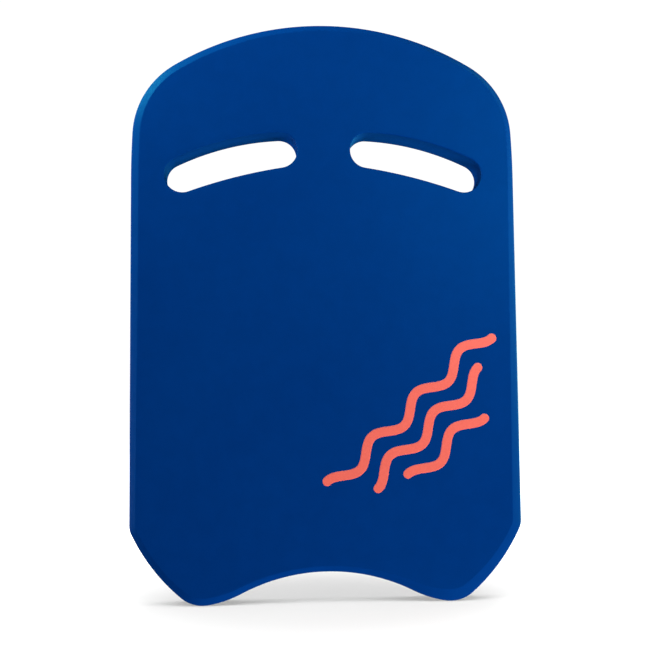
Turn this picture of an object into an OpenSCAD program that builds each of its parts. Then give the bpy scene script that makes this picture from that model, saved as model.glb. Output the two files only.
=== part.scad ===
// Kickboard float: one slab of closed-cell foam with a rounded nose, two
// rounded feet at the tail, two curved hand slots, and three printed wave bands.
// The board stands on its feet, with its length along +Z, its thickness along
// Y and the printed face toward -Y. The origin is on the floor, midway between
// the feet and at mid thickness.

/* [Board] */
// Length of the board, from the feet to the crown of the nose
board_h = 430; // [400:1:470]
// Greatest width of the board
board_w = 288; // [276:1:310]
// Thickness of the foam slab
board_t = 30; // [26:1:40]
// Outward lean of each side toward the tail, in degrees
side_taper = 0.2; // [0:0.05:0.5]

/* [Nose] */
// Sweep of half the crown arc, in degrees
crown_sweep = 31; // [27:0.5:35]
// Radius of the shoulder between the crown and the side
shoulder_r = 64; // [56:1:70]
// Radius of the shallow bow below the shoulder
bow_r = 670; // [500:10:900]
// Sweep of the shallow bow, in degrees
bow_sweep = 3; // [1:0.5:5]

/* [Feet] */
// Radius of the knuckle where the side turns in to the foot
knuckle_r = 15; // [8:0.5:24]
// Sweep of the knuckle, in degrees
knuckle_sweep = 26; // [22:0.5:30]
// Radius of the outer flank of the foot
flank_r = 140; // [120:1:150]
// Sweep of the outer flank, in degrees
flank_sweep = 24; // [22:0.5:26]
// Radius of the tip that the board stands on
tip_r = 25; // [20:0.5:30]
// Sweep of the tip, in degrees
tip_sweep = 49; // [44:0.5:54]
// Radius of the inner flank of the foot
heel_r = 80; // [60:1:90]
// Sweep of the inner flank, in degrees
heel_sweep = 18; // [14:0.5:20]

/* [Rim bevel] */
// Width of the bevel, seen on the face
bevel_w = 5.8; // [4:0.1:7]
// Depth of the bevel's slope where it meets the line of the edge
bevel_d = 4.2; // [3:0.1:6]
// Radius between the bevel and the edge
edge_r = 2.2; // [1:0.1:3]

/* [Hand slots] */
// Distance of the inner end centre from the middle of the board
slot_in_x = 33; // [28:0.5:40]
// Height of the inner end centre
slot_in_z = 334; // [320:0.5:345]
// Distance of the outer end centre from the middle of the board
slot_out_x = 105; // [95:0.5:110]
// Height of the outer end centre
slot_out_z = 315.5; // [305:0.5:325]
// Radius of the round ends of the slot, half its width
slot_end_r = 13.25; // [11:0.25:15]
// Radius of the slot's upper edge
slot_top_r = 200; // [170:5:260]
// Radius of the slot's lower edge
slot_low_r = 380; // [300:5:450]
// Softening of the slot's rims
slot_soft = 1.2; // [0.6:0.1:2]

/* [Print] */
// Direction of the printed waves, in degrees above the horizontal
print_tilt = 44; // [35:1:55]
// Middle of the print across the board
print_x = 75; // [65:1:85]
// Middle of the print above the floor
print_z = 127; // [115:1:150]
// Stroke of the printed wave bands
wave_w = 7; // [4:0.5:8]
// Distance between neighbouring bands
wave_pitch = 19; // [16:1:22]
// Length of one wave
wave_len = 46; // [36:1:48]
// Height of the waves above and below their middle line
wave_amp = 5.5; // [3:0.5:6.5]
// Thickness of the ink film
ink_t = 0.15; // [0.1:0.05:0.3]

/* [Hidden] */
half_t = board_t / 2;
flat = 0.03;          // greatest gap between an arc and its chords

// The outline is a chain of arcs that meet tangentially, run clockwise from
// the crown, as points of [x, z]. A heading t is the angle turned from +X.
function heading(t) = [cos(t), -sin(t)];
function outward(t) = [sin(t), cos(t)];
// Travel along an arc of radius r from heading t to heading t + a
function run(t, r, a) = r * (outward(t + a) - outward(t));

t1 = crown_sweep;                         // start of the shoulder
t2 = 90 - side_taper - bow_sweep;         // start of the bow
t3 = 90 - side_taper;                     // heading of the side
t4 = t3 + knuckle_sweep;                  // start of the flank
t5 = t4 + flank_sweep;                    // start of the tip
t6 = t5 + tip_sweep;                      // start of the heel
t7 = t6 + heel_sweep;                     // start of the notch
notch_sweep = t7 - 180;

// The side takes up what is left of the length, and the crown's radius what
// is left of the half width
below_side = run(t3, knuckle_r, knuckle_sweep) + run(t4, flank_r, flank_sweep)
    + run(t5, tip_r, 180 - t5);
above_side = run(t1, shoulder_r, t2 - t1) + run(t2, bow_r, bow_sweep);
past_side = run(t3, knuckle_r, side_taper);
function crown_for(side) = (board_w / 2 - above_side[0] - past_side[0]
    - side * cos(t3)) / sin(crown_sweep);
function side_for(crown) = (board_h + run(0, crown, crown_sweep)[1]
    + above_side[1] + below_side[1]) / sin(t3);
side_len = side_for(crown_for(side_for(crown_for(board_h / 2))));
crown_r = crown_for(side_len);

// Each stretch of the right half: heading, radius and sweep. The side is the
// stretch with no radius. The tip is in two, so that one sample is its lowest
// point. The notch follows the last stretch and curves the other way.
CHAIN = [
    [0, crown_r, crown_sweep],
    [t1, shoulder_r, t2 - t1],
    [t2, bow_r, bow_sweep],
    [t3, 0, 0],
    [t3, knuckle_r, knuckle_sweep],
    [t4, flank_r, flank_sweep],
    [t5, tip_r, 180 - t5],
    [180, tip_r, t6 - 180],
    [t6, heel_r, heel_sweep]
];
function travel(q) = q[1] == 0 ? side_len * heading(q[0]) : run(q[0], q[1], q[2]);
function start(i) = i == 0 ? [0, board_h] : start(i - 1) + travel(CHAIN[i - 1]);
steps = function (r, a) max(4, ceil(a / (2 * acos(1 - flat / r))));

// Samples of the outline as [point, outward direction]
function arc_samples(i) = let (q = CHAIN[i], p = start(i), n = steps(q[1], q[2]))
    [for (k = [0:n - 1]) let (a = q[2] * k / n)
        [p + run(q[0], q[1], a), outward(q[0] + a)]];
notch_start = start(len(CHAIN));
notch_r = notch_start[0] / sin(notch_sweep);
function notch_samples() = let (n = steps(notch_r, notch_sweep))
    [for (k = [0:n]) let (t = t7 - notch_sweep * k / n)
        [notch_start + notch_r * (outward(t7) - outward(t)), outward(t)]];
HALF = [for (i = [0:len(CHAIN) - 1]) if (CHAIN[i][1] > 0) each arc_samples(i)];
// The side's lower end is the knuckle's first sample; its upper end is added
SIDE_TOP = [[start(3), outward(t3)]];
upper_count = steps(crown_r, crown_sweep) + steps(shoulder_r, t2 - t1) + steps(bow_r, bow_sweep);
RIGHT = concat([for (i = [0:upper_count - 1]) HALF[i]], SIDE_TOP,
    [for (i = [upper_count:len(HALF) - 1]) HALF[i]], notch_samples());
function flip(s) = [[-s[0][0], s[0][1]], [-s[1][0], s[1][1]]];
OUTLINE = concat(RIGHT, [for (i = [len(RIGHT) - 2:-1:1]) flip(RIGHT[i])]);

// A solid of rings: each ring is the outline drawn in by an inset at a given
// y, and each end is closed with a fan or a strip of triangles
function ring(outline, inset, y) =
    [for (s = outline) [s[0][0] - inset * s[1][0], y, s[0][1] - inset * s[1][1]]];
function bands(n, count, turn) = [for (k = [0:count - 2], i = [0:n - 1])
    let (j = (i + 1) % n, a = k * n, b = (k + 1) * n)
    each turn > 0 ? [[a + i, b + i, b + j], [a + i, b + j, a + j]]
                  : [[a + i, b + j, b + i], [a + i, a + j, b + j]]];

// Bevel as [inset from the edge, depth below the face]: a slope that leaves
// the face at a crease, then a small round that runs out down the edge
slope = atan(bevel_d / bevel_w);
edge_run = edge_r * tan((90 - slope) / 2);
BEVEL = concat([[bevel_w, 0]], [for (k = [0:4]) let (a = (90 - slope) * (1 - k / 4))
    [edge_r * (1 - cos(a)), bevel_d + edge_run - edge_r * sin(a)]]);

module slab() {
    n = len(OUTLINE);
    front = [for (q = BEVEL) ring(OUTLINE, q[0], q[1] - half_t)];
    back = [for (k = [len(BEVEL) - 1:-1:0]) ring(OUTLINE, BEVEL[k][0], half_t - BEVEL[k][1])];
    rings = concat(front, back);
    last = (len(rings) - 1) * n;
    hub = len(rings) * n;
    polyhedron(
        points = concat([for (r = rings) each r],
            [[0, -half_t, board_h / 2], [0, half_t, board_h / 2]]),
        faces = concat(bands(n, len(rings), -1),
            [for (i = [0:n - 1]) [hub, (i + 1) % n, i]],
            [for (i = [0:n - 1]) [hub + 1, last + i, last + (i + 1) % n]]),
        convexity = 4);
}

// Hand slot: two round ends joined by an upper and a lower arc
ci = [slot_in_x, slot_in_z];
co = [slot_out_x, slot_out_z];
// Centre below the line from a to b, at distance r from both
function below(a, b, r) = let (v = b - a, l = norm(v))
    (a + b) / 2 + sqrt(r * r - l * l / 4) * [v[1], -v[0]] / l;
top_c = below(ci, co, slot_top_r - slot_end_r);
low_c = below(ci, co, slot_low_r + slot_end_r);
function angle_of(v) = atan2(v[1], v[0]);
top_a = [angle_of(ci - top_c), angle_of(co - top_c)];
low_a = [angle_of(co - low_c), angle_of(ci - low_c)];
// Samples [point, direction out of the slot] from angle a to angle b
function sweep_samples(c, r, a, b, n, side) =
    [for (k = [0:n - 1]) let (t = a + (b - a) * k / n, d = [cos(t), sin(t)])
        [c + r * d, side * d]];
SLOT = concat(
    sweep_samples(top_c, slot_top_r, top_a[0], top_a[1], 10, 1),
    sweep_samples(co, slot_end_r, top_a[1], low_a[0] - 180, 16, 1),
    sweep_samples(low_c, slot_low_r, low_a[0], low_a[1], 10, -1),
    sweep_samples(ci, slot_end_r, low_a[1] + 180, top_a[0], 16, 1));

// Cutter of one slot: straight in the middle, opening out over the rims, and
// closed at both ends by a strip between its upper and lower halves
module slot_cutter() {
    n = len(SLOT);
    flare = [[-slot_soft - 1, -half_t - 1], [-slot_soft, -half_t],
        [-0.3 * slot_soft, 0.3 * slot_soft - half_t], [0, slot_soft - half_t]];
    levels = concat(flare, [for (k = [3:-1:0]) [flare[k][0], -flare[k][1]]]);
    last = (len(levels) - 1) * n;
    // Pairs of samples facing each other across the slot
    up = [for (k = [0:n / 2]) (n + 26 - k - 8) % n];
    lo = [for (k = [0:n / 2]) (26 - 8 + k) % n];
    strip = [for (k = [0:n / 2 - 1]) each
        [[up[k], lo[k], lo[k + 1]], [up[k], lo[k + 1], up[k + 1]]]];
    polyhedron(
        points = [for (q = levels) each ring(SLOT, q[0], q[1])],
        faces = concat(bands(n, len(levels), -1),
            [for (f = strip) if (f[0] != f[1] && f[1] != f[2] && f[0] != f[2]) [f[0], f[1], f[2]]],
            [for (f = strip) if (f[0] != f[1] && f[1] != f[2] && f[0] != f[2])
                [last + f[0], last + f[2], last + f[1]]]),
        convexity = 4);
}

module foam_board() {
    color("#0b3f7c") difference() {
        slab();
        slot_cutter();
        mirror([1, 0, 0]) slot_cutter();
    }
}

// Printed band: a sine wave of even stroke with round ends, laid flat
function wave_at(s) = [s, wave_amp * sin(360 * s / wave_len)];
function wave_turn(s) = atan(wave_amp * 2 * PI / wave_len * cos(360 * s / wave_len));
function wave_edge(s, side) = let (t = wave_turn(s))
    wave_at(s) + side * wave_w / 2 * [-sin(t), cos(t)];
function round_end(s, from) = let (t = wave_turn(s))
    [for (k = [1:7]) wave_at(s) + wave_w / 2 * [cos(t + from - 22.5 * k), sin(t + from - 22.5 * k)]];

module wave_band(waves, shift) {
    l = waves * wave_len;
    n = 16 * waves;
    points = concat(
        [for (k = [0:n]) wave_edge(l * (k / n - 0.5), 1)],
        round_end(l / 2, 90),
        [for (k = [n:-1:0]) wave_edge(l * (k / n - 0.5), -1)],
        round_end(-l / 2, -90));
    color("#f76c5f") translate([print_x, -half_t, print_z]) rotate([90, -print_tilt, 0])
        translate([0, -shift * wave_pitch, 0]) linear_extrude(ink_t) polygon(points);
}

module wave_band_upper() wave_band(3.5, -1);
module wave_band_middle() wave_band(2.5, 0);
module wave_band_lower() wave_band(1.5, 1);

foam_board();
wave_band_upper();
wave_band_middle();
wave_band_lower();
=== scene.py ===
"""Kickboard float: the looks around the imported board. Metres, in the part's own frame."""
import math

import bmesh
import bpy
import numpy as np
from mathutils import Matrix, Vector, noise
from mathutils.geometry import delaunay_2d_cdt


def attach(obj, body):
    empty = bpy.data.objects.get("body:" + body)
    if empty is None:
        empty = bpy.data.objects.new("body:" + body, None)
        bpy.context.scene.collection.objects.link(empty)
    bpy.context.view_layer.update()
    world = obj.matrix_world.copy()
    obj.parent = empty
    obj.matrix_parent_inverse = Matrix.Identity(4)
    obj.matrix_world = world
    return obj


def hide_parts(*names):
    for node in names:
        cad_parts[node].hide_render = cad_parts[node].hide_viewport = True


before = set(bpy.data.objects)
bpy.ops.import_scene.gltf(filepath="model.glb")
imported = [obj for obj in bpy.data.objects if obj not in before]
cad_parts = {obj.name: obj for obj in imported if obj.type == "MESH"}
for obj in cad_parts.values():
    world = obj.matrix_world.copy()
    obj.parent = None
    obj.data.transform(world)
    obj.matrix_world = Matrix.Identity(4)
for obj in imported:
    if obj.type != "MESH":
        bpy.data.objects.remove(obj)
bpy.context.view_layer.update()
scene = bpy.context.scene
MM = 0.001

# ---------------------------------------------------------------- camera
# Camera axes in the part's frame: right, down, forward
YAW, PITCH, ROLL = math.radians(3.303), math.radians(3.811), math.radians(-0.582)
ca, sa, cb, sb = math.cos(YAW), math.sin(YAW), math.cos(PITCH), math.sin(PITCH)
cr, sr = math.cos(ROLL), math.sin(ROLL)
M0 = np.array([[ca, -sa, 0], [0, 0, -1], [sa, ca, 0]])
RX = np.array([[1, 0, 0], [0, cb, sb], [0, -sb, cb]])
RZ = np.array([[cr, -sr, 0], [sr, cr, 0], [0, 0, 1]])
AXES = RZ @ RX @ M0
EYE = np.array([-0.04705, -0.82283, 0.14930])

cam_data = bpy.data.cameras.new("camera")
cam_data.sensor_width = 36.0
cam_data.lens = 1100 / 650 * 36
cam_data.clip_start = 0.01
cam_data.clip_end = 100
cam = bpy.data.objects.new("camera", cam_data)
scene.collection.objects.link(cam)
cam.matrix_world = Matrix(
    [[AXES[0][i], -AXES[1][i], -AXES[2][i], EYE[i]] for i in range(3)] + [[0, 0, 0, 1]]
)
scene.camera = cam
scene.view_settings.view_transform = "Standard"

# ---------------------------------------------------------------- outline
# The board's outline is a chain of arcs that meet tangentially, run clockwise
# from the crown, in millimetres as (x, z). A heading is the angle turned from +X.
BOARD_H, BOARD_W, BOARD_T = 430.0, 288.0, 30.0
HALF_T = BOARD_T / 2
TAPER = 0.2
CROWN_A, SHOULDER_R, BOW_R, BOW_A = 31.0, 64.0, 670.0, 3.0
KNUCKLE_R, KNUCKLE_A, FLANK_R, FLANK_A = 15.0, 26.0, 140.0, 24.0
TIP_R, TIP_A, HEEL_R, HEEL_A = 25.0, 49.0, 80.0, 18.0


def out(t):
    return np.array([math.sin(math.radians(t)), math.cos(math.radians(t))])


def run(t, r, a):
    return r * (out(t + a) - out(t))


def chain():
    """The stretches of the right half: (heading, radius, sweep, length), radius 0 on the straight side."""
    t1, t2, t3 = CROWN_A, 90 - TAPER - BOW_A, 90 - TAPER
    t4 = t3 + KNUCKLE_A
    t5 = t4 + FLANK_A
    t6 = t5 + TIP_A
    t7 = t6 + HEEL_A
    above = run(t1, SHOULDER_R, t2 - t1) + run(t2, BOW_R, BOW_A)
    below = run(t3, KNUCKLE_R, KNUCKLE_A) + run(t4, FLANK_R, FLANK_A) + run(t5, TIP_R, 180 - t5)
    past = run(t3, KNUCKLE_R, TAPER)
    side = BOARD_H / 2
    for _ in range(6):
        crown = (BOARD_W / 2 - above[0] - past[0] - side * math.cos(math.radians(t3))) / math.sin(
            math.radians(CROWN_A)
        )
        side = (BOARD_H + run(0, crown, CROWN_A)[1] + above[1] + below[1]) / math.sin(math.radians(t3))
    return [
        (0, crown, CROWN_A, 0),
        (t1, SHOULDER_R, t2 - t1, 0),
        (t2, BOW_R, BOW_A, 0),
        (t3, 0, 0, side),
        (t3, KNUCKLE_R, KNUCKLE_A, 0),
        (t4, FLANK_R, FLANK_A, 0),
        (t5, TIP_R, 180 - t5, 0),
        (180, TIP_R, t6 - 180, 0),
        (t6, HEEL_R, HEEL_A, 0),
    ], t7


def outline(step_mm=2.2, step_deg=3.0):
    """Points round the whole board with their outward directions, clockwise from the crown."""
    p = np.array([0.0, BOARD_H])
    pts, nrm = [], []
    parts, t7 = chain()
    for t, r, a, length in parts:
        if r == 0:
            n = int(math.ceil(length / 4.0))
            d = np.array([math.cos(math.radians(t)), -math.sin(math.radians(t))])
            for k in range(n):
                pts.append(p + d * length * k / n)
                nrm.append(out(t))
            p = p + d * length
            continue
        n = max(2, int(math.ceil(max(math.radians(a) * r / 4.0, a / step_deg))))
        for k in range(n):
            pts.append(p + run(t, r, a * k / n))
            nrm.append(out(t + a * k / n))
        p = p + run(t, r, a)
    sweep = t7 - 180
    r = p[0] / math.sin(math.radians(sweep))
    n = max(2, int(math.ceil(math.radians(sweep) * r / 3.5)))
    for k in range(n + 1):
        t = t7 - sweep * k / n
        pts.append(p + r * (out(t7) - out(t)))
        nrm.append(out(t))
    pts, nrm = np.array(pts), np.array(nrm)
    left = slice(len(pts) - 2, 0, -1)
    flip = np.array([-1.0, 1.0])
    return np.r_[pts, pts[left] * flip], np.r_[nrm, nrm[left] * flip]


# Hand slot: two round ends joined by an upper and a lower arc
SLOT_IN, SLOT_OUT, SLOT_R = np.array([33.0, 334.0]), np.array([105.0, 315.5]), 13.25
SLOT_TOP_R, SLOT_LOW_R = 200.0, 380.0


def slot_outline():
    """Points round the right hand slot, clockwise, with directions out of the slot into the foam."""

    def below(r):
        v = SLOT_OUT - SLOT_IN
        l = np.hypot(*v)
        return (SLOT_IN + SLOT_OUT) / 2 + math.sqrt(r * r - l * l / 4) * np.array([v[1], -v[0]]) / l

    def ang(v):
        return math.degrees(math.atan2(v[1], v[0]))

    top_c, low_c = below(SLOT_TOP_R - SLOT_R), below(SLOT_LOW_R + SLOT_R)
    ta = ang(SLOT_IN - top_c), ang(SLOT_OUT - top_c)
    la = ang(SLOT_OUT - low_c), ang(SLOT_IN - low_c)
    pts, nrm = [], []

    def sweep(c, r, a, b, n, side):
        for k in range(n):
            t = math.radians(a + (b - a) * k / n)
            d = np.array([math.cos(t), math.sin(t)])
            pts.append(c + r * d)
            nrm.append(side * d)

    sweep(top_c, SLOT_TOP_R, ta[0], ta[1], 28, 1)
    sweep(SLOT_OUT, SLOT_R, ta[1], la[0] - 180, 28, 1)
    sweep(low_c, SLOT_LOW_R, la[0], la[1], 28, -1)
    sweep(SLOT_IN, SLOT_R, la[1] + 180, ta[0], 28, 1)
    return np.array(pts), np.array(nrm)


# ---------------------------------------------------------------- board mesh
# Rim section as (inset from the edge, depth below the face), from the face out
# to the edge: a crease with a small round, a flat slope, then a round that runs
# out down the edge. The width of the slope can differ round the board.
BEVEL_D, CREASE_R, EDGE_R = 4.2, 1.3, 2.2


def rim_section(w):
    slope = math.atan(BEVEL_D / w)
    run_a = CREASE_R * math.tan(slope / 2)
    run_b = EDGE_R * math.tan((math.pi / 2 - slope) / 2)
    sec = []
    for k in range(6):  # crease: centre below the face
        a = slope * k / 5
        sec.append((w + run_a - CREASE_R * math.sin(a), CREASE_R * (1 - math.cos(a))))
    sec.append((0.52 * w, 0.48 * BEVEL_D))
    for k in range(7):  # edge
        a = (math.pi / 2 - slope) * (1 - k / 6)
        sec.append((EDGE_R * (1 - math.cos(a)), BEVEL_D + run_b - EDGE_R * math.sin(a)))
    return sec


# Width of the front bevel at points round the board, which was trimmed one by one:
# (x, z) of the rim, and the width there
FRONT_BEVEL = [
    (0, 430, 5.2), (60, 421, 4.8), (110, 399, 4.6), (135, 372, 4.6), (143, 335, 4.7), (143, 287, 5.3),
    (143, 239, 5.9), (144, 191, 6.3), (144, 143, 6.7), (144, 95, 7.1), (143, 60, 7.5), (128, 30, 7.9),
    (108, 8, 9.0), (92, 0, 9.6), (76, 3, 8.2), (50, 13, 6.0), (22, 21, 4.6), (0, 23, 4.4),
    (-22, 21, 4.4), (-50, 13, 4.8), (-76, 3, 5.6), (-92, 0, 6.0), (-114, 12, 5.6), (-143, 60, 5.0),
    (-144, 121, 5.3), (-144, 169, 5.6), (-143, 242, 6.0), (-143, 300, 6.1), (-142, 348, 6.1),
    (-122, 391, 6.2), (-81, 414, 5.9), (-35, 427, 5.5),
]


def bevel_widths(pts):
    """The front bevel's width at each point of the outline, by distance along it."""
    s = np.r_[0, np.cumsum(np.hypot(*np.diff(np.r_[pts, pts[:1]], axis=0).T))]
    keys = sorted((s[int(np.argmin(np.hypot(*(pts - np.array([x, z])).T)))], w) for x, z, w in FRONT_BEVEL)
    ks = np.array([k for k, _ in keys])
    kw = np.array([w for _, w in keys])
    total = s[-1]
    fine = np.arange(0, total, 1.0)
    w = np.interp(fine, np.r_[ks[-1] - total, ks, ks[0] + total], np.r_[kw[-1], kw, kw[0]])
    size = 31
    ker = np.hanning(size + 2)[1:-1]
    ker /= ker.sum()
    w = np.convolve(np.r_[w[-size:], w, w[:size]], ker, "same")[size:-size]
    return np.interp(s[:-1], fine, w)


def slot_section(soft=1.2, n=5):
    return [
        (-soft * (1 - math.sin(math.pi / 2 * k / n)), soft * (1 - math.cos(math.pi / 2 * k / n)))
        for k in range(n + 1)
    ]


def build_board():
    o_pts, o_nrm = outline()
    s_pts, s_nrm = slot_outline()
    flip = np.array([-1.0, 1.0])
    slots = [(s_pts, s_nrm), ((s_pts * flip)[::-1], (s_nrm * flip)[::-1])]

    verts, quads = [], []

    def add_ring(pts, y):
        base = len(verts)
        verts.extend((p[0], y, p[1]) for p in pts)
        return list(range(base, base + len(pts)))

    def stitch(a, b, turn):
        n = len(a)
        for i in range(n):
            j = (i + 1) % n
            quads.append((a[i], b[i], b[j], a[j]) if turn > 0 else (a[i], a[j], b[j], b[i]))

    # Outer rim: front bevel, side, back bevel
    front = np.array([rim_section(w) for w in bevel_widths(o_pts)])  # point, level, (inset, depth)
    back = np.array([rim_section(5.8)] * len(o_pts))
    rings = []
    for k in range(front.shape[1]):
        base = len(verts)
        q = o_pts - front[:, k, :1] * o_nrm
        verts.extend((p[0], -HALF_T + d, p[1]) for p, d in zip(q, front[:, k, 1]))
        rings.append(list(range(base, base + len(q))))
    rings += [add_ring(o_pts, y) for y in (-6.0, 0.0, 6.0)]
    for k in reversed(range(back.shape[1])):
        base = len(verts)
        q = o_pts - back[:, k, :1] * o_nrm
        verts.extend((p[0], HALF_T - d, p[1]) for p, d in zip(q, back[:, k, 1]))
        rings.append(list(range(base, base + len(q))))
    for a, b in zip(rings, rings[1:]):
        stitch(a, b, 1)
    front_loops, back_loops = [rings[0]], [rings[-1]]

    # Slot walls
    ssec = slot_section()
    slevels = [(i, -HALF_T + d) for i, d in ssec]
    slevels += [(0.0, y) for y in (-9.0, -4.5, 0.0, 4.5, 9.0)]
    slevels += [(i, HALF_T - d) for i, d in reversed(ssec)]
    for pts, nrm in slots:
        srings = [add_ring(pts - i * nrm, y) for i, y in slevels]
        for a, b in zip(srings, srings[1:]):
            stitch(a, b, -1)
        front_loops.append(srings[0])
        back_loops.append(srings[-1])

    # Faces: a fine triangle mesh between the loops
    grid = []
    gx = 5.0
    gz = gx * math.sqrt(3) / 2
    rows = int(BOARD_H / gz) + 1
    for r in range(rows):
        for c in range(-32, 33):
            grid.append(((c + 0.5 * (r % 2)) * gx, 3 + r * gz))
    grid = np.array(grid)

    def inside(points, loop):
        x, z = points[:, 0], points[:, 1]
        hit = np.zeros(len(points), bool)
        n = len(loop)
        for i in range(n):
            x1, z1 = loop[i]
            x2, z2 = loop[(i + 1) % n]
            if z1 == z2:
                continue
            cond = (z1 > z) != (z2 > z)
            xi = x1 + (z - z1) * (x2 - x1) / (z2 - z1)
            hit ^= cond & (x < xi)
        return hit

    def dist(points, loop):
        d = np.full(len(points), 1e9)
        for i in range(len(loop)):
            a, b = loop[i], loop[(i + 1) % len(loop)]
            ab = b - a
            t = np.clip(((points - a) @ ab) / (ab @ ab), 0, 1)
            q = a + t[:, None] * ab
            d = np.minimum(d, np.hypot(*(points - q).T))
        return d

    def face(loops, y, turn):
        loop2d = [np.array([(verts[i][0], verts[i][2]) for i in l]) for l in loops]
        keep = inside(grid, loop2d[0]) & (dist(grid, loop2d[0]) > 2.6)
        for l in loop2d[1:]:
            keep &= ~inside(grid, l) & (dist(grid, l) > 2.4)
        inner = grid[keep]
        pts2 = np.concatenate(loop2d + [inner])
        index = [i for l in loops for i in l]
        base = len(verts)
        verts.extend((p[0], y, p[1]) for p in inner)
        index += list(range(base, base + len(inner)))
        edges, start = [], 0
        for l in loop2d:
            n = len(l)
            edges += [(start + k, start + (k + 1) % n) for k in range(n)]
            start += n
        res = delaunay_2d_cdt([Vector(p) for p in pts2.tolist()], edges, [], 0, 1e-7)
        v2, tris, orig = res[0], res[2], res[3]
        where = [o[0] for o in orig]
        cent = np.array([np.mean([pts2[where[i]] for i in t], axis=0) for t in tris])
        ok = inside(cent, loop2d[0])
        for l in loop2d[1:]:
            ok &= ~inside(cent, l)
        for t, k in zip(tris, ok):
            if not k:
                continue
            a, b, c = (index[where[i]] for i in t)
            pa, pb, pc = (np.array(verts[i]) for i in (a, b, c))
            up = np.cross(pb - pa, pc - pa)[1]
            quads.append((a, b, c) if (up > 0) == (turn > 0) else (a, c, b))

    face(front_loops, -HALF_T, -1)
    face(back_loops, HALF_T, 1)

    me = bpy.data.meshes.new("foam_slab")
    me.from_pydata([(x * MM, y * MM, z * MM) for x, y, z in verts], [], quads)
    me.validate()
    ob = bpy.data.objects.new("foam_slab", me)
    scene.collection.objects.link(ob)

    bm = bmesh.new()
    bm.from_mesh(me)
    bmesh.ops.recalc_face_normals(bm, faces=bm.faces)
    for f in bm.faces:
        f.smooth = True
    bm.to_mesh(me)
    bm.free()
    return ob


# ---------------------------------------------------------------- materials
def new_material(name):
    m = bpy.data.materials.new(name)
    m.use_nodes = True
    nt = m.node_tree
    nt.nodes.clear()
    return m, nt


class Nodes:
    """Small helper to add and link shader nodes."""

    def __init__(self, nt):
        self.nt = nt

    def add(self, kind, label=None, **props):
        n = self.nt.nodes.new(kind)
        for k, v in props.items():
            setattr(n, k, v)
        return n

    def link(self, a, b):
        self.nt.links.new(a, b)


def srgb(*c):
    return tuple(x / 12.92 if x <= 0.04045 else ((x + 0.055) / 1.055) ** 2.4 for x in (v / 255 for v in c)) + (1,)


def foam_material():
    m, nt = new_material("eva_foam")
    N = Nodes(nt)
    co = N.add("ShaderNodeTexCoord").outputs["Object"]

    def noise_tex(scale, detail=3.0, rough=0.5):
        n = N.add("ShaderNodeTexNoise")
        n.inputs["Scale"].default_value = scale
        n.inputs["Detail"].default_value = detail
        n.inputs["Roughness"].default_value = rough
        N.link(co, n.inputs["Vector"])
        return n.outputs["Fac"]

    def ramp(src, stops, interp="LINEAR"):
        r = N.add("ShaderNodeValToRGB")
        r.color_ramp.interpolation = interp
        els = r.color_ramp.elements
        while len(els) < len(stops):
            els.new(0.5)
        for e, (p, c) in zip(els, stops):
            e.position = p
            e.color = c if isinstance(c, tuple) else (c, c, c, 1)
        N.link(src, r.inputs["Fac"])
        return r.outputs["Color"]

    def mix(fac, a, b, kind="MIX"):
        x = N.add("ShaderNodeMix", data_type="RGBA", blend_type=kind)
        if isinstance(fac, float):
            x.inputs["Factor"].default_value = fac
        else:
            N.link(fac, x.inputs["Factor"])
        for sock, v in ((x.inputs[6], a), (x.inputs[7], b)):
            if isinstance(v, tuple):
                sock.default_value = v
            else:
                N.link(v, sock)
        return x.outputs[2]

    # Colour: even royal blue, with faint cloudy mottling and scattered pores
    cloud = ramp(noise_tex(9.0, 4.0, 0.55), [(0.35, (0.0002, 0.0325, 0.1920, 1)), (0.65, (0.0003, 0.0350, 0.2010, 1))])
    patch = ramp(noise_tex(75.0, 2.0, 0.5), [(0.35, 0.955), (0.65, 1.0)])
    fine = ramp(noise_tex(260.0, 3.0, 0.6), [(0.36, 0.975), (0.64, 1.0)])
    col = mix(1.0, mix(1.0, cloud, patch, "MULTIPLY"), fine, "MULTIPLY")

    # Relief: closed-cell grain and pinholes
    grain = noise_tex(700.0, 4.0, 0.6)
    vor = N.add("ShaderNodeTexVoronoi", feature="F1")
    vor.inputs["Scale"].default_value = 900.0
    N.link(co, vor.inputs["Vector"])
    cells = ramp(vor.outputs["Distance"], [(0.0, 0.0), (0.55, 1.0)])
    height = mix(0.4, grain, cells)
    bump = N.add("ShaderNodeBump")
    bump.inputs["Strength"].default_value = 0.16
    bump.inputs["Distance"].default_value = 0.0004
    N.link(height, bump.inputs["Height"])

    rough = ramp(noise_tex(420.0, 3.0, 0.6), [(0.3, 0.50), (0.7, 0.62)])

    b = N.add("ShaderNodeBsdfPrincipled")
    N.link(col, b.inputs["Base Color"])
    N.link(rough, b.inputs["Roughness"])
    N.link(bump.outputs["Normal"], b.inputs["Normal"])
    b.inputs["IOR"].default_value = 1.45
    b.inputs["Specular IOR Level"].default_value = 0.17
    b.inputs["Specular Tint"].default_value = (0.0, 0.75, 1.0, 1)
    o = N.add("ShaderNodeOutputMaterial")
    N.link(b.outputs["BSDF"], o.inputs["Surface"])
    return m


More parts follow.
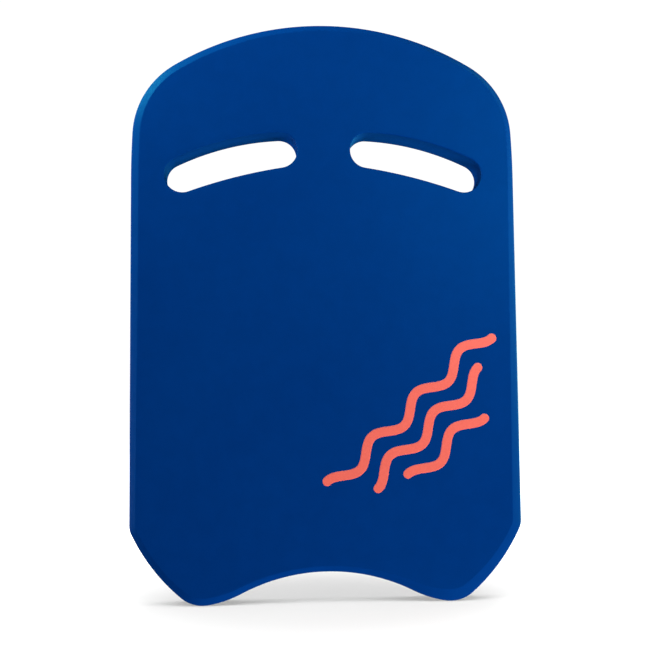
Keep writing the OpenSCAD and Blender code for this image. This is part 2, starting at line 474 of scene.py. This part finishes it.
def ink_material():
    m, nt = new_material("coral_ink")
    N = Nodes(nt)
    co = N.add("ShaderNodeTexCoord").outputs["Object"]
    n1 = N.add("ShaderNodeTexNoise")
    n1.inputs["Scale"].default_value = 500.0
    n1.inputs["Detail"].default_value = 3.0
    N.link(co, n1.inputs["Vector"])
    r = N.add("ShaderNodeValToRGB")
    r.color_ramp.elements[0].position = 0.35
    r.color_ramp.elements[0].color = (0.93, 0.148, 0.110, 1)
    r.color_ramp.elements[1].position = 0.65
    r.color_ramp.elements[1].color = (0.97, 0.160, 0.119, 1)
    N.link(n1.outputs["Fac"], r.inputs["Fac"])
    bump = N.add("ShaderNodeBump")
    bump.inputs["Strength"].default_value = 0.12
    bump.inputs["Distance"].default_value = 0.0003
    N.link(n1.outputs["Fac"], bump.inputs["Height"])
    b = N.add("ShaderNodeBsdfPrincipled")
    N.link(r.outputs["Color"], b.inputs["Base Color"])
    b.inputs["Roughness"].default_value = 0.5
    b.inputs["Specular IOR Level"].default_value = 0.35
    N.link(bump.outputs["Normal"], b.inputs["Normal"])
    o = N.add("ShaderNodeOutputMaterial")
    N.link(b.outputs["BSDF"], o.inputs["Surface"])
    return m


# ---------------------------------------------------------------- printed waves
TILT, PRINT_X, PRINT_Z = math.radians(44), 75.0, 127.0
WAVE_W, WAVE_PITCH, WAVE_LEN, WAVE_AMP, INK_T = 7.0, 19.0, 46.0, 5.5, 0.15


def build_wave(name, waves, shift):
    """A sine band of even stroke with round ends, with its edges softened, laid on the front face."""
    l = waves * WAVE_LEN
    n = int(48 * waves)

    def at(s):
        return np.array([s, WAVE_AMP * math.sin(2 * math.pi * s / WAVE_LEN)])

    def turn(s):
        return math.atan(WAVE_AMP * 2 * math.pi / WAVE_LEN * math.cos(2 * math.pi * s / WAVE_LEN))

    cols = [(l * (k / n - 0.5)) for k in range(n + 1)]
    ends = 12
    half = WAVE_W / 2
    soft = [(0.0, 0.0), (0.25, 0.06), (0.6, INK_T)]  # inset from the edge, height of the film

    def rim(inset):
        h = half - inset
        pts = []
        for s in cols:
            t = turn(s)
            pts.append(at(s) + h * np.array([-math.sin(t), math.cos(t)]))
        t = turn(cols[-1])
        for k in range(1, ends):
            a = t + math.pi / 2 - math.pi * k / ends
            pts.append(at(cols[-1]) + h * np.array([math.cos(a), math.sin(a)]))
        for s in reversed(cols):
            t = turn(s)
            pts.append(at(s) - h * np.array([-math.sin(t), math.cos(t)]))
        t = turn(cols[0])
        for k in range(1, ends):
            a = t - math.pi / 2 - math.pi * k / ends
            pts.append(at(cols[0]) + h * np.array([math.cos(a), math.sin(a)]))
        return np.array(pts)

    verts, faces = [], []

    def place(p, up):
        u, v = p[0], p[1] - shift * WAVE_PITCH
        x = PRINT_X + u * math.cos(TILT) - v * math.sin(TILT)
        z = PRINT_Z + u * math.sin(TILT) + v * math.cos(TILT)
        return (x * MM, (-HALF_T - up) * MM, z * MM)

    loops = []
    for inset, up in [(0.0, 0.0)] + soft[1:]:
        r = rim(inset)
        base = len(verts)
        verts.extend(place(p, up) for p in r)
        loops.append(list(range(base, base + len(r))))
    m = len(loops[0])
    for a, b in zip(loops, loops[1:]):
        for i in range(m):
            j = (i + 1) % m
            faces.append((a[i], a[j], b[j], b[i]))

    def lid(loop, turned):
        # Quads across the stroke, and a fan at each round end
        top, right = loop[: n + 1], loop[n + 1 : n + ends]
        low, left = loop[n + ends : 2 * n + ends + 1][::-1], loop[2 * n + ends + 1 :]
        out_faces = [(top[k], top[k + 1], low[k + 1], low[k]) for k in range(n)]
        out_faces.append(tuple([top[n]] + right + [low[n]]))
        out_faces.append(tuple([low[0]] + left + [top[0]]))
        faces.extend(f if turned else tuple(reversed(f)) for f in out_faces)

    lid(loops[-1], False)
    lid(loops[0], True)
    me = bpy.data.meshes.new(name)
    me.from_pydata(verts, [], faces)
    me.validate()
    bm = bmesh.new()
    bm.from_mesh(me)
    bmesh.ops.recalc_face_normals(bm, faces=bm.faces)
    bm.to_mesh(me)
    bm.free()
    ob = bpy.data.objects.new(name, me)
    scene.collection.objects.link(ob)
    return ob


foam = build_board()
foam.visible_diffuse = False
foam.data.materials.append(foam_material())
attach(foam, "root")
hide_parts("foam_board")

ink = ink_material()
waves_made = []
for node, waves, shift in (
    ("wave_band_upper", 3.5, -1),
    ("wave_band_middle", 2.5, 0),
    ("wave_band_lower", 1.5, 1),
):
    w = build_wave("printed_" + node, waves, shift)
    w.data.materials.append(ink)
    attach(w, "root")
    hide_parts(node)
    waves_made.append(w)

# ---------------------------------------------------------------- floor and light
def build_floor():
    """A white floor that glows with painted light, more the farther from the board, so it turns to plain white a short
    way out while near the board only the lamps light it.
    """
    me = bpy.data.meshes.new("floor")
    me.from_pydata([(x, y, 0) for y in (-12.0, 12.0) for x in (-12.0, 12.0)], [], [(0, 1, 3, 2)])
    ob = bpy.data.objects.new("floor", me)
    scene.collection.objects.link(ob)
    m, nt = new_material("studio_white")
    N = Nodes(nt)
    co = N.add("ShaderNodeTexCoord").outputs["Object"]
    # Painted light: the floor's emission rises from nothing near the board to full strength half a metre out, so the
    # floor farther off is brighter, and the floor near the board darker, than the lamps alone make it.
    far = N.add("ShaderNodeVectorMath", operation="LENGTH")
    N.link(co, far.inputs[0])
    glow = N.add("ShaderNodeMapRange", interpolation_type="SMOOTHSTEP")
    for sock, v in (("From Min", 0.07), ("From Max", 0.5), ("To Min", 0.0), ("To Max", 1.1)):
        glow.inputs[sock].default_value = v
    N.link(far.outputs["Value"], glow.inputs["Value"])
    b = N.add("ShaderNodeBsdfPrincipled")
    b.inputs["Base Color"].default_value = (0.8, 0.8, 0.8, 1)
    b.inputs["Roughness"].default_value = 0.9
    b.inputs["Specular IOR Level"].default_value = 0.0
    b.inputs["Emission Color"].default_value = (1, 1, 1, 1)
    N.link(glow.outputs["Result"], b.inputs["Emission Strength"])
    o = N.add("ShaderNodeOutputMaterial")
    N.link(b.outputs["BSDF"], o.inputs["Surface"])
    me.materials.append(m)
    ob.visible_diffuse = False
    ob.visible_glossy = False
    ob.visible_shadow = False
    return ob


def area_light(name, pos, target, size, power, lit, gloss=True, color=(1, 1, 1)):
    """A softbox that lights only the collection given, with or without a gleam."""
    d = bpy.data.lights.new(name, "AREA")
    d.shape = "RECTANGLE"
    d.size, d.size_y = size
    d.energy = power
    d.color = color
    ob = bpy.data.objects.new(name, d)
    scene.collection.objects.link(ob)
    ob.location = pos
    v = Vector(target) - Vector(pos)
    ob.rotation_euler = v.to_track_quat("-Z", "Y").to_euler()
    ob.light_linking.receiver_collection = lit
    ob.visible_glossy = gloss
    return ob


def group(name, *objects):
    c = bpy.data.collections.new(name)
    for o in objects:
        c.objects.link(o)
    return c


# Plain white all round, which only the camera sees
world = bpy.data.worlds.new("studio")
scene.world = world
world.use_nodes = True
bg = world.node_tree.nodes["Background"]
bg.inputs["Color"].default_value = (1, 1, 1, 1)
bg.inputs["Strength"].default_value = 1.05
world.cycles_visibility.diffuse = False
world.cycles_visibility.glossy = False

floor = group("floor_lit", build_floor())
board = group("board_lit", foam, *waves_made)

# Board: low and rim boxes, fitted to how the light falls on its face, bevels and slots
area_light("front_low", (0.5, -0.8, -0.8), (0, 0, 0.25), (0.6, 0.6), 18.8, board, gloss=False)
area_light("right_fill", (0.3, -0.3, 0.4), (0.3, 0.7, 0.4), (0.3, 0.3), 1.11, board)
area_light("left_fill", (-0.3, -0.3, 0.6), (-0.3, 0.7, 0.6), (0.3, 0.3), 1.6, board, gloss=False)
area_light("left_rim", (-0.7, -0.05, 0.95), (0, 0, 0.25), (0.3, 0.3), 11.8, board, color=(0.1, 1.05, 1.0))
area_light("right_rim", (0.8, -0.05, -0.8), (0, 0, 0.25), (0.3, 0.3), 3.6, board, gloss=False)
area_light("back_right", (0.8, 0.4, 0.1), (0, 0, 0.25), (0.6, 0.6), 10.9, board, color=(0.15, 1.1, 1.0))
area_light("right_top", (0.8, -0.05, 1.1), (0, 0, 0.25), (0.3, 0.3), 4.3, board, color=(0.15, 1.0, 1.0))
area_light("back_low", (0, 0.6, -0.3), (0, 0, 0.3), (0.6, 0.3), 0.6, board, color=(0.1, 1.0, 1.0))
area_light("back_left", (-0.8, 0.4, 0.1), (0, 0, 0.25), (0.6, 0.6), 11.8, board, gloss=False)

# Floor: overhead boxes, more from the front than from behind
area_light("floor_top", (0, 0, 1.8), (0, 0, 0), (2.0, 2.0), 19, floor)
area_light("floor_front", (0, -1.0, 1.7), (0, 0, 0), (4.0, 1.0), 43.5, floor)
area_light("floor_back", (0, 1.4, 1.6), (0, 0.4, 0), (4.0, 1.2), 19, floor)
area_light("floor_high", (0.4, 0.8, 2.6), (0.12, 0.24, 0), (2.0, 2.0), 21, floor)
